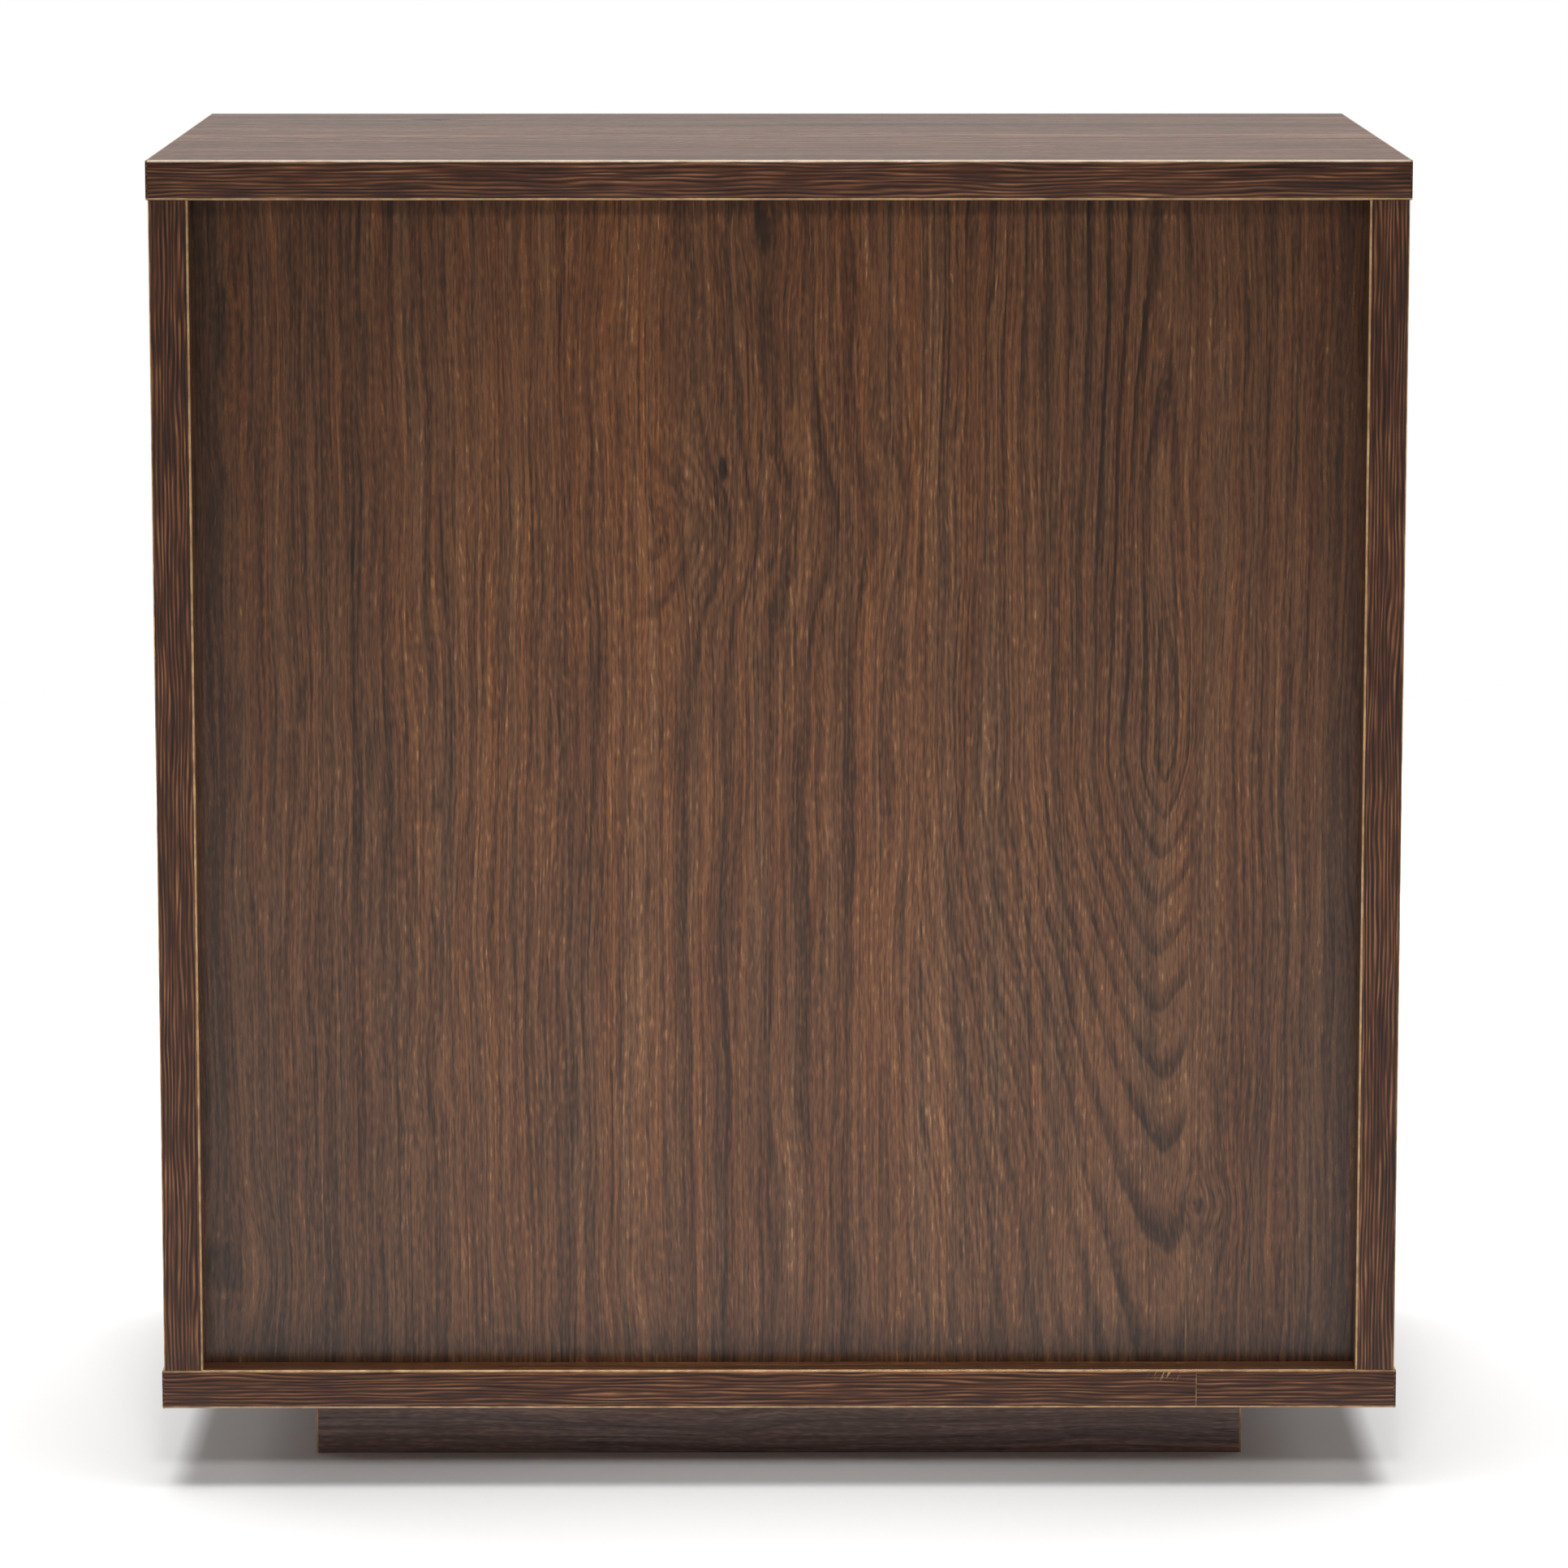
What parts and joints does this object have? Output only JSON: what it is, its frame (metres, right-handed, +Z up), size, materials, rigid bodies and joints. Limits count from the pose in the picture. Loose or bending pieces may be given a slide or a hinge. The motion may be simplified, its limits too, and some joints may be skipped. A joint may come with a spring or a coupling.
{
  "type": "cube storage unit",
  "caption": "Free-standing cube storage unit in dark walnut laminate, open at the front, with a divider, shelves, a recessed back panel and an inset plinth.",
  "frame": {"origin": "on the floor, under the middle of the unit's width and depth", "axes": "+Z up; the open front faces -Y and the back panel faces +Y; +X is to the right of someone who stands in front"},
  "size_m": [0.6, 0.395, 0.646],
  "materials": {
    "walnut_laminate": "particle board with dark walnut melamine laminate, satin",
    "back_panel_laminate": "thin board with dark walnut foil, satin, vertical grain",
    "plinth_laminate": "particle board with dark walnut melamine laminate, satin",
    "walnut_edge_band": "1 mm walnut-print plastic edge band with bevelled tan edges",
    "plinth_edge_band": "1 mm walnut-print plastic edge band",
    "zinc_cam": "die-cast zinc, bright, slightly grainy",
    "plated_steel": "zinc-plated steel",
    "beech": "plain beech, fluted dowel stock",
    "brown_plastic": "moulded dark brown plastic"
  },
  "bodies": {
    "root": {"top_panel": "walnut_laminate", "bottom_panel": "walnut_laminate", "left_side_panel": "walnut_laminate", "right_side_panel": "walnut_laminate", "centre_divider": "walnut_laminate", "left_shelf": "walnut_laminate", "right_shelf": "walnut_laminate", "back_panel": "back_panel_laminate", "plinth_front_rail": "plinth_laminate", "plinth_back_rail": "plinth_laminate", "plinth_left_rail": "plinth_laminate", "plinth_right_rail": "plinth_laminate", "top_front_edge_band": "walnut_edge_band", "top_back_edge_band": "walnut_edge_band", "top_left_edge_band": "walnut_edge_band", "top_right_edge_band": "walnut_edge_band", "bottom_front_edge_band": "walnut_edge_band", "bottom_back_edge_band_long": "walnut_edge_band", "bottom_back_edge_band_short": "walnut_edge_band", "bottom_left_edge_band": "walnut_edge_band", "bottom_right_edge_band": "walnut_edge_band", "left_side_front_edge_band": "walnut_edge_band", "left_side_back_edge_band": "walnut_edge_band", "right_side_front_edge_band": "walnut_edge_band", "right_side_back_edge_band": "walnut_edge_band", "divider_front_edge_band": "walnut_edge_band", "left_shelf_edge_band": "walnut_edge_band", "right_shelf_edge_band": "walnut_edge_band", "plinth_rail_end_bands": "plinth_edge_band", "left_side_cam_locks": "zinc_cam", "right_side_cam_locks": "zinc_cam", "divider_cam_locks": "zinc_cam", "left_shelf_cam_locks": "zinc_cam", "right_shelf_cam_locks": "zinc_cam", "top_cam_bolts": "plated_steel", "bottom_cam_bolts": "plated_steel", "side_cam_bolts": "plated_steel", "double_ended_cam_bolts": "plated_steel", "top_dowels": "beech", "bottom_dowels": "beech", "shelf_dowels": "beech", "plinth_dowels": "beech", "plinth_corner_blocks": "brown_plastic", "plinth_block_screws": "plated_steel"}
  },
  "joints": []
}
